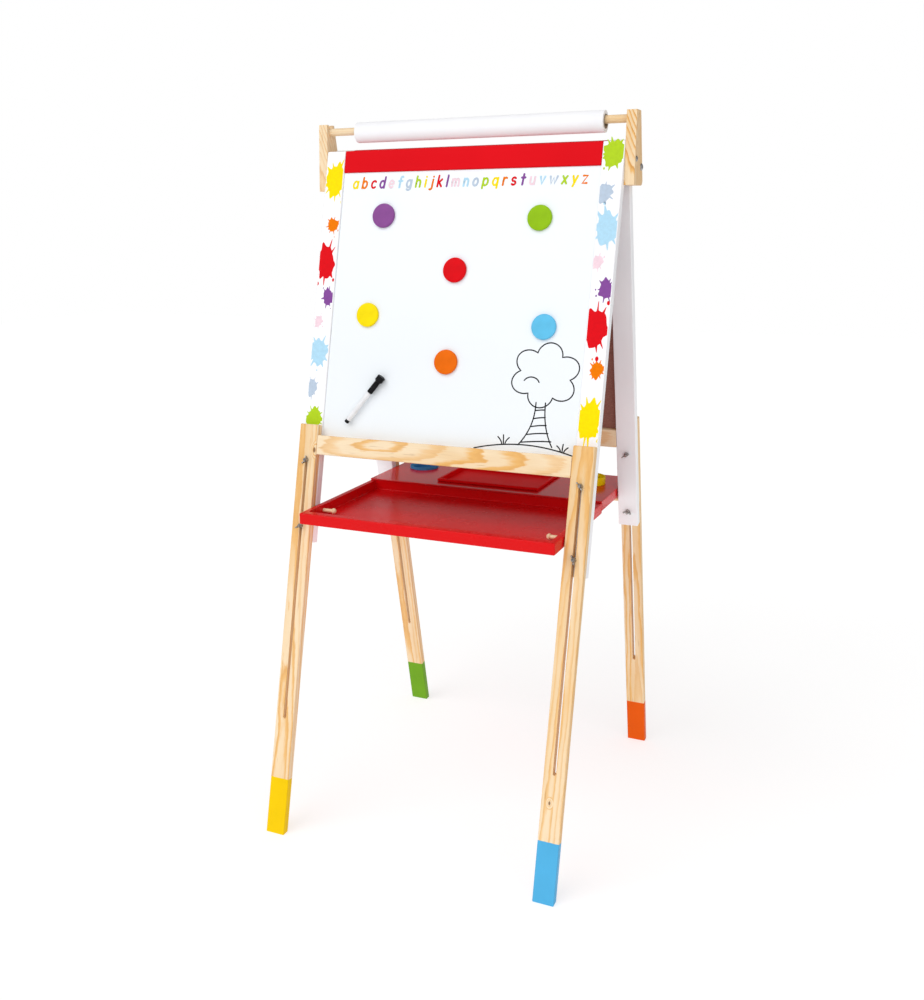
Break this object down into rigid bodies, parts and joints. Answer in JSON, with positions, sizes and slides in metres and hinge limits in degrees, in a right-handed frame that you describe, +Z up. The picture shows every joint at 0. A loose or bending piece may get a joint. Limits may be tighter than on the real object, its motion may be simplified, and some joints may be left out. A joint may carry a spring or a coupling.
{
  "type": "wooden artist easel",
  "caption": "Child's folding wooden A-frame easel with a whiteboard and a blackboard back to back, a tray between the frames, a paper roll on top and slotted adjustable legs.",
  "frame": {"origin": "on the floor, at the middle of the easel's width and depth", "axes": "+Z up, +X to the right of a person who faces the whiteboard, the whiteboard faces -Y"},
  "size_m": [0.6102, 0.6416, 1.2924],
  "materials": {
    "pine": "clear sealed pine with open grain",
    "white_paint": "satin white paint with printed paint splashes",
    "red_rail": "satin red paint",
    "whiteboard": "smooth white magnetic dry-wipe face",
    "blackboard": "matt black chalk face, brown hardboard back",
    "tray_red": "high gloss red",
    "steel": "zinc plated",
    "paper": "plain white drawing paper, matt",
    "card": "plain grey-brown card tube",
    "black_plastic": "moulded, satin",
    "white_plastic": "moulded, glossy",
    "purple_plastic": "moulded, satin gloss",
    "green_plastic": "moulded, satin gloss",
    "red_plastic": "moulded, satin gloss",
    "yellow_plastic": "moulded, satin gloss",
    "blue_plastic": "moulded, satin gloss",
    "orange_plastic": "moulded, satin gloss"
  },
  "bodies": {
    "front_frame": {"front_stile_left": "white_paint", "bolt_front_left_upper": "steel", "bolt_front_left_lower": "steel", "front_stile_right": "white_paint", "bolt_front_right_upper": "steel", "bolt_front_right_lower": "steel", "front_rail": "pine", "front_top_bar": "red_rail", "whiteboard": "whiteboard", "bracket_left": "pine", "pivot_bolt_left": "steel", "bracket_screw_left": "steel", "bracket_right": "pine", "pivot_bolt_right": "steel", "bracket_screw_right": "steel"},
    "rear_frame": {"rear_stile_left": "white_paint", "bolt_rear_left_upper": "steel", "bolt_rear_left_lower": "steel", "rear_stile_right": "white_paint", "bolt_rear_right_upper": "steel", "bolt_rear_right_lower": "steel", "rear_rail": "pine", "rear_top_bar": "pine", "blackboard": "blackboard", "rest_pin_left": "pine", "rest_pin_right": "pine"},
    "leg_front_left": {"leg_front_left": "pine"},
    "leg_front_right": {"leg_front_right": "pine"},
    "leg_rear_left": {"leg_rear_left": "pine"},
    "leg_rear_right": {"leg_rear_right": "pine"},
    "wing_nut_front_left_upper": {"wing_nut_front_left_upper": "steel"},
    "wing_nut_front_left_lower": {"wing_nut_front_left_lower": "steel"},
    "wing_nut_front_right_upper": {"wing_nut_front_right_upper": "steel"},
    "wing_nut_front_right_lower": {"wing_nut_front_right_lower": "steel"},
    "wing_nut_rear_left_upper": {"wing_nut_rear_left_upper": "steel"},
    "wing_nut_rear_left_lower": {"wing_nut_rear_left_lower": "steel"},
    "wing_nut_rear_right_upper": {"wing_nut_rear_right_upper": "steel"},
    "wing_nut_rear_right_lower": {"wing_nut_rear_right_lower": "steel"},
    "rod": {"roll_rod": "pine"},
    "roll": {"roll_core": "card", "paper_roll": "paper"},
    "magnet_purple": {"magnet_purple": "purple_plastic"},
    "magnet_green": {"magnet_green": "green_plastic"},
    "magnet_red": {"magnet_red": "red_plastic"},
    "magnet_yellow": {"magnet_yellow": "yellow_plastic"},
    "magnet_blue": {"magnet_blue": "blue_plastic"},
    "magnet_orange": {"magnet_orange": "orange_plastic"},
    "marker": {"marker_body": "white_plastic", "marker_plug": "black_plastic"},
    "marker_cap": {"marker_cap": "black_plastic"},
    "tray": {"tray": "tray_red", "tray_deck": "tray_red"},
    "pot_blue": {"pot_blue": "blue_plastic"},
    "pot_yellow": {"pot_yellow": "yellow_plastic"},
    "insert_dish": {"insert_dish": "tray_red"},
    "peg_left": {"tray_peg_left": "pine"},
    "peg_right": {"tray_peg_right": "pine"}
  },
  "joints": [
    {"name": "frame_fold", "type": "hinge", "parent": "front_frame", "child": "rear_frame", "pos_m": [0, 0.03024, 1.2], "axis": [-1, 0, 0], "range_deg": [0, 22]},
    {"name": "leg_front_left_slide", "type": "slide", "parent": "front_frame", "child": "leg_front_left", "axis": [0, 0.2334, 0.9724], "range_m": [0, 0.355]},
    {"name": "leg_front_right_slide", "type": "slide", "parent": "front_frame", "child": "leg_front_right", "axis": [0, 0.2334, 0.9724], "range_m": [0, 0.355]},
    {"name": "leg_rear_left_slide", "type": "slide", "parent": "rear_frame", "child": "leg_rear_left", "axis": [0, -0.2164, 0.9763], "range_m": [0, 0.355]},
    {"name": "leg_rear_right_slide", "type": "slide", "parent": "rear_frame", "child": "leg_rear_right", "axis": [0, -0.2164, 0.9763], "range_m": [0, 0.355]},
    {"name": "wing_nut_front_left_upper_turn", "type": "hinge", "parent": "front_frame", "child": "wing_nut_front_left_upper", "pos_m": [-0.265, -0.15683, 0.68451], "axis": [0, -0.9724, 0.2334], "continuous": true},
    {"name": "wing_nut_front_left_lower_turn", "type": "hinge", "parent": "front_frame", "child": "wing_nut_front_left_lower", "pos_m": [-0.265, -0.18555, 0.56491], "axis": [0, -0.9724, 0.2334], "continuous": true},
    {"name": "wing_nut_front_right_upper_turn", "type": "hinge", "parent": "front_frame", "child": "wing_nut_front_right_upper", "pos_m": [0.265, -0.15683, 0.68451], "axis": [0, -0.9724, 0.2334], "continuous": true},
    {"name": "wing_nut_front_right_lower_turn", "type": "hinge", "parent": "front_frame", "child": "wing_nut_front_right_lower", "pos_m": [0.265, -0.18555, 0.56491], "axis": [0, -0.9724, 0.2334], "continuous": true},
    {"name": "wing_nut_rear_left_upper_turn", "type": "hinge", "parent": "rear_frame", "child": "wing_nut_rear_left_upper", "pos_m": [-0.265, 0.13763, 0.67868], "axis": [0, -0.9763, -0.2164], "continuous": true},
    {"name": "wing_nut_rear_left_lower_turn", "type": "hinge", "parent": "rear_frame", "child": "wing_nut_rear_left_lower", "pos_m": [-0.265, 0.16425, 0.55859], "axis": [0, -0.9763, -0.2164], "continuous": true},
    {"name": "wing_nut_rear_right_upper_turn", "type": "hinge", "parent": "rear_frame", "child": "wing_nut_rear_right_upper", "pos_m": [0.265, 0.13763, 0.67868], "axis": [0, -0.9763, -0.2164], "continuous": true},
    {"name": "wing_nut_rear_right_lower_turn", "type": "hinge", "parent": "rear_frame", "child": "wing_nut_rear_right_lower", "pos_m": [0.265, 0.16425, 0.55859], "axis": [0, -0.9763, -0.2164], "continuous": true},
    {"name": "rod_lift", "type": "slide", "parent": "front_frame", "child": "rod", "axis": [0, 0, 1], "range_m": [0, 0.03]},
    {"name": "roll_spin", "type": "hinge", "parent": "rod", "child": "roll", "pos_m": [0, 0.00634, 1.2742], "axis": [1, 0, 0], "continuous": true},
    {"name": "magnet_purple_pull", "type": "slide", "parent": "front_frame", "child": "magnet_purple", "axis": [0, -0.9724, 0.2334], "range_m": [0, 0.03]},
    {"name": "magnet_green_pull", "type": "slide", "parent": "front_frame", "child": "magnet_green", "axis": [0, -0.9724, 0.2334], "range_m": [0, 0.03]},
    {"name": "magnet_red_pull", "type": "slide", "parent": "front_frame", "child": "magnet_red", "axis": [0, -0.9724, 0.2334], "range_m": [0, 0.03]},
    {"name": "magnet_yellow_pull", "type": "slide", "parent": "front_frame", "child": "magnet_yellow", "axis": [0, -0.9724, 0.2334], "range_m": [0, 0.03]},
    {"name": "magnet_blue_pull", "type": "slide", "parent": "front_frame", "child": "magnet_blue", "axis": [0, -0.9724, 0.2334], "range_m": [0, 0.03]},
    {"name": "magnet_orange_pull", "type": "slide", "parent": "front_frame", "child": "magnet_orange", "axis": [0, -0.9724, 0.2334], "range_m": [0, 0.03]},
    {"name": "marker_pull", "type": "slide", "parent": "front_frame", "child": "marker", "axis": [0, -0.9724, 0.2334], "range_m": [0, 0.03]},
    {"name": "marker_cap_pull", "type": "slide", "parent": "marker", "child": "marker_cap", "axis": [0.5993, 0.1869, 0.7784], "range_m": [0, 0.03]},
    {"name": "tray_tilt", "type": "hinge", "parent": "front_frame", "child": "tray", "pos_m": [0, -0.15493, 0.5905], "axis": [1, 0, 0], "range_deg": [0, 6]},
    {"name": "pot_blue_lift", "type": "slide", "parent": "tray", "child": "pot_blue", "axis": [0, 0, 1], "range_m": [0, 0.02]},
    {"name": "pot_yellow_lift", "type": "slide", "parent": "tray", "child": "pot_yellow", "axis": [0, 0, 1], "range_m": [0, 0.02]},
    {"name": "insert_dish_lift", "type": "slide", "parent": "tray", "child": "insert_dish", "axis": [0, 0, 1], "range_m": [0, 0.02]},
    {"name": "peg_left_pull", "type": "slide", "parent": "front_frame", "child": "peg_left", "axis": [1, 0, 0], "range_m": [0, 0.02]},
    {"name": "peg_right_pull", "type": "slide", "parent": "front_frame", "child": "peg_right", "axis": [-1, 0, 0], "range_m": [0, 0.02]}
  ]
}
